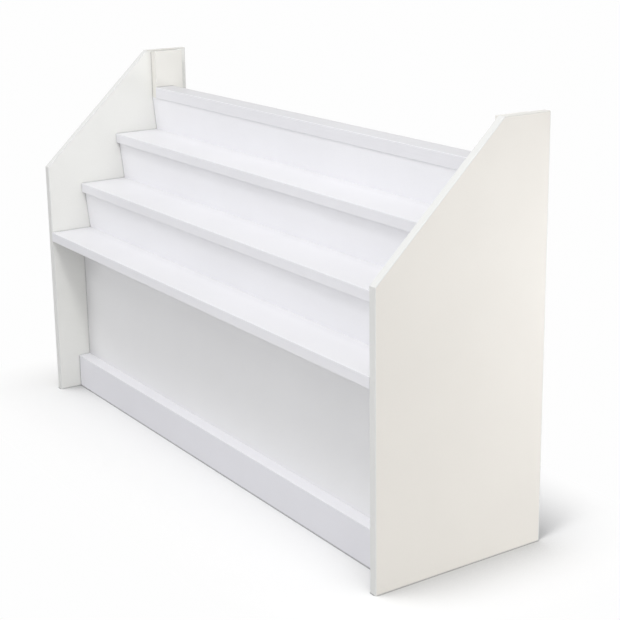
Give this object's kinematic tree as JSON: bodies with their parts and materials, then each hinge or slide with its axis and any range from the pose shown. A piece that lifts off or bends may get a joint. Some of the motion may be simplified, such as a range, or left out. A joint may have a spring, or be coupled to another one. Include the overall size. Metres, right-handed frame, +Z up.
{
  "type": "tiered display stand",
  "caption": "Stepped retail display stand of white faced board: sloped side panels hold stepped shelves, leaning risers, a top ledge and a recessed front with a plinth",
  "frame": {"origin": "at floor level, under the middle of the stand's length and depth", "axes": "+X along the length, to the right as seen from the front; +Y from the front to the back; +Z up"},
  "size_m": [1.5, 0.43, 0.92],
  "materials": {
    "cream_board": "cream melamine facing, fine satin grain",
    "white_board": "cool white melamine facing, fine satin grain",
    "white_edging": "satin plastic edging strip",
    "zinc_fitting": "zinc-plated, matt",
    "white_cap": "moulded, matt",
    "beech_dowel": "bare, fluted"
  },
  "bodies": {
    "root": {"side_panel_left": "cream_board", "side_panel_right": "cream_board", "top_cheek_left": "cream_board", "top_cheek_right": "cream_board", "shelf_lower": "white_board", "shelf_middle": "white_board", "shelf_upper": "white_board", "riser_lower": "white_board", "riser_middle": "white_board", "riser_upper": "white_board", "top_ledge": "white_board", "front_panel": "white_board", "plinth": "white_board", "centre_support": "white_board", "rear_stretcher": "white_board", "cam_bolts": "zinc_fitting", "cam_housings": "zinc_fitting", "cam_caps": "white_cap", "dowels": "beech_dowel", "wood_screws": "zinc_fitting", "front_edging_left": "white_edging", "front_edging_right": "white_edging", "slope_edging_left": "white_edging", "slope_edging_right": "white_edging", "top_edging_left": "white_edging", "top_edging_right": "white_edging", "rear_edging_left": "white_edging", "rear_edging_right": "white_edging", "edging_shelf_lower": "white_edging", "edging_shelf_middle": "white_edging", "edging_shelf_upper": "white_edging", "edging_ledge": "white_edging", "edging_plinth": "white_edging"}
  },
  "joints": []
}
